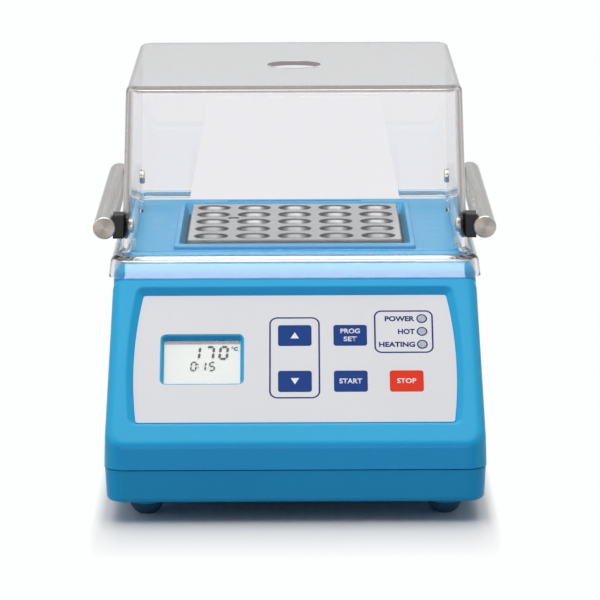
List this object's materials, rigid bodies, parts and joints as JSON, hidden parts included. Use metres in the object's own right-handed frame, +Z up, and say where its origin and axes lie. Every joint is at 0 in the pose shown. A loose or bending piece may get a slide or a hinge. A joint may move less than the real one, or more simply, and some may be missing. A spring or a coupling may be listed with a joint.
{
  "type": "chemical oxygen demand reactor",
  "caption": "Bench heating block for glass sample vials with a sloped key and display panel, a lift-off clear cover and round steel handle bars.",
  "frame": {"origin": "centre of the footprint at bench level, under the feet", "axes": "+Z up; -Y towards the user, where the sloped panel is; +X to the user's right"},
  "size_m": [0.192, 0.27, 0.192],
  "materials": {
    "case_plastic": "moulded, satin",
    "foot_rubber": "moulded",
    "screw_steel": "bright",
    "overlay_print": "printed film",
    "key_blue": "satin",
    "key_red": "satin",
    "lens_plastic": "diffusing",
    "window_plastic": "clear",
    "display_glass": "liquid crystal cell",
    "circuit_board": "solder mask",
    "component_black": "moulded",
    "block_aluminium": "machined",
    "heater_film": "flexible heater",
    "sheet_steel": "plated",
    "insulation_board": "fibrous",
    "seal_rubber": "moulded",
    "core_steel": "laminated",
    "coil_tape": "wound tape",
    "sink_aluminium": "anodised",
    "terminal_plastic": "moulded",
    "pin_brass": "plated",
    "fuse_glass": "glass tube with metal caps",
    "cover_acrylic": "clear",
    "bar_steel": "brushed"
  },
  "bodies": {
    "case": {"top_shell": "case_plastic", "bottom_shell": "case_plastic", "feet": "foot_rubber", "foot_screws": "screw_steel", "case_screws": "screw_steel", "panel_overlay": "overlay_print", "indicator_lenses": "lens_plastic", "display_window": "window_plastic", "display_module": "display_glass", "display_board": "circuit_board", "key_switches": "component_black", "indicator_lamps": "lens_plastic", "board_screws": "screw_steel", "heating_block": "block_aluminium", "block_base": "block_aluminium", "heater_plate": "heater_film", "clamp_plate": "sheet_steel", "insulation_base": "insulation_board", "insulation_frame": "insulation_board", "block_gasket": "seal_rubber", "block_sensor": "sheet_steel", "thermal_cutout": "sheet_steel", "block_spacers": "sheet_steel", "block_bolts": "screw_steel", "block_tray": "sheet_steel", "tray_screws": "screw_steel", "heat_shield": "sheet_steel", "rear_panel": "core_steel", "rear_panel_screws": "screw_steel", "power_inlet": "component_black", "inlet_pins": "pin_brass", "inlet_screws": "screw_steel", "fuse_holder": "component_black", "switch_housing": "component_black", "power_board": "circuit_board", "power_board_screws": "screw_steel", "transformer_core": "core_steel", "transformer_coil": "coil_tape", "heat_sink": "sink_aluminium", "triac": "component_black", "relay": "component_black", "terminal_block": "terminal_plastic", "capacitors": "component_black"},
    "cover": {"cover_shell": "cover_acrylic", "handle_left": "bar_steel", "handle_right": "bar_steel", "handle_saddles": "component_black", "handle_screws": "screw_steel"},
    "up_key": {"key_up": "key_blue"},
    "down_key": {"key_down": "key_blue"},
    "set_key": {"key_set": "key_blue"},
    "start_key": {"key_start": "key_blue"},
    "stop_key": {"key_stop": "key_red"},
    "rocker": {"switch_rocker": "component_black"},
    "fuse_tray": {"fuse_drawer": "component_black", "fuses": "fuse_glass"}
  },
  "joints": [
    {"name": "cover_lift", "type": "slide", "parent": "case", "child": "cover", "axis": [0, 0, 1], "range_m": [0, 0.12]},
    {"name": "up_key_press", "type": "slide", "parent": "case", "child": "up_key", "axis": [0, 0.6877, -0.726], "range_m": [0, 0.0004], "stiffness_N_per_m": 2000},
    {"name": "down_key_press", "type": "slide", "parent": "case", "child": "down_key", "axis": [0, 0.6877, -0.726], "range_m": [0, 0.0004], "stiffness_N_per_m": 2000},
    {"name": "set_key_press", "type": "slide", "parent": "case", "child": "set_key", "axis": [0, 0.6877, -0.726], "range_m": [0, 0.0004], "stiffness_N_per_m": 2000},
    {"name": "start_key_press", "type": "slide", "parent": "case", "child": "start_key", "axis": [0, 0.6877, -0.726], "range_m": [0, 0.0004], "stiffness_N_per_m": 2000},
    {"name": "stop_key_press", "type": "slide", "parent": "case", "child": "stop_key", "axis": [0, 0.6877, -0.726], "range_m": [0, 0.0004], "stiffness_N_per_m": 2000},
    {"name": "power_switch", "type": "hinge", "parent": "case", "child": "rocker", "pos_m": [0.034, 0.1273, 0.0575], "axis": [1, 0, 0], "range_deg": [0, 18]},
    {"name": "fuse_tray_slide", "type": "slide", "parent": "case", "child": "fuse_tray", "axis": [0, 1, 0], "range_m": [0, 0.022]}
  ]
}
